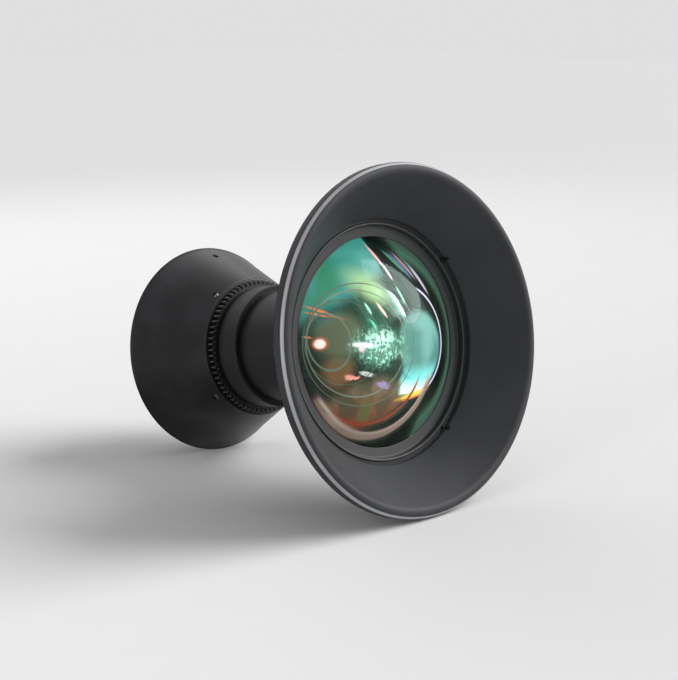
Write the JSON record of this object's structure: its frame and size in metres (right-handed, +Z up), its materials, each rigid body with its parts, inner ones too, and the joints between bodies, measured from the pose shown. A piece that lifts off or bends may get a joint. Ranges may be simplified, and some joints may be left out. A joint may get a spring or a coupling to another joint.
{
  "type": "projection lens",
  "caption": "Ultra-wide projection lens with a dish-shaped hood round a domed front glass, a geared focus ring and a conical rear bell on a bolted flange.",
  "frame": {"origin": "centre of the mounting bolt circle on the rear face of the flange, on the optical axis", "axes": "+Y along the optical axis towards the projector, so the front glass faces -Y; +Z up, +X to the right seen from the front hood's side looking along +Y"},
  "size_m": [0.225, 0.2494, 0.225],
  "materials": {
    "hood_black": "satin black anodised, fine turned grain",
    "ring_black": "satin black anodised ring",
    "barrel_black": "matte black anodised",
    "bell_black": "semi-gloss black anodised",
    "gear_black": "black anodised, edges slightly worn",
    "inner_black": "flat black against stray light",
    "cell_grey": "grey hard anodised sliding cell",
    "sleeve_brass": "turned brass",
    "pin_steel": "ground steel",
    "screw_steel": "dark blued steel",
    "screw_black": "black oxide steel",
    "washer_white": "slippery white plastic",
    "seal_rubber": "soft black rubber",
    "front_glass": "polished, green and teal coating",
    "inner_glass": "polished, coated",
    "rear_glass": "polished, violet and blue coating"
  },
  "bodies": {
    "lens_body": {"front_hood": "hood_black", "hood_shell": "hood_black", "hood_screws": "screw_black", "front_retainer": "ring_black", "front_lens": "front_glass", "front_seal": "seal_rubber", "front_barrel": "hood_black", "second_retainer": "inner_black", "second_lens": "inner_glass", "third_retainer": "inner_black", "third_lens": "inner_glass", "main_barrel": "barrel_black", "fourth_retainer": "inner_black", "fourth_lens": "inner_glass", "stop_spacer": "inner_black", "aperture_stop": "inner_black", "stop_retainer": "inner_black", "thrust_washers": "washer_white", "rear_bell": "bell_black", "bell_screws": "screw_steel", "mounting_flange": "barrel_black", "rim_screws": "screw_black", "lock_ring": "barrel_black", "rear_barrel": "barrel_black", "relay_lens": "inner_glass", "relay_spacer": "inner_black", "doublet_crown": "inner_glass", "doublet_flint": "inner_glass", "rear_spacer": "inner_black", "rear_lens": "rear_glass", "rear_retainer": "ring_black"},
    "focus_ring_body": {"focus_ring": "barrel_black", "focus_gear": "gear_black", "cam_sleeve": "sleeve_brass", "ring_screws": "screw_steel"},
    "focus_group": {"focus_cell": "cell_grey", "focus_retainer": "inner_black", "focus_lens_front": "inner_glass", "focus_spacer": "inner_black", "focus_lens_rear": "inner_glass", "cam_followers": "pin_steel"}
  },
  "joints": [
    {"name": "focus_turn", "type": "hinge", "parent": "lens_body", "child": "focus_ring_body", "pos_m": [0, -0.06675, 0], "axis": [0, 1, 0], "range_deg": [-45, 45]},
    {"name": "focus_slide", "type": "slide", "parent": "lens_body", "child": "focus_group", "axis": [0, 1, 0], "range_m": [-0.004, 0.004]}
  ],
  "couplings": [
    {"joint": "focus_slide", "follows": "focus_turn", "m_per_rad": 0.005092}
  ]
}
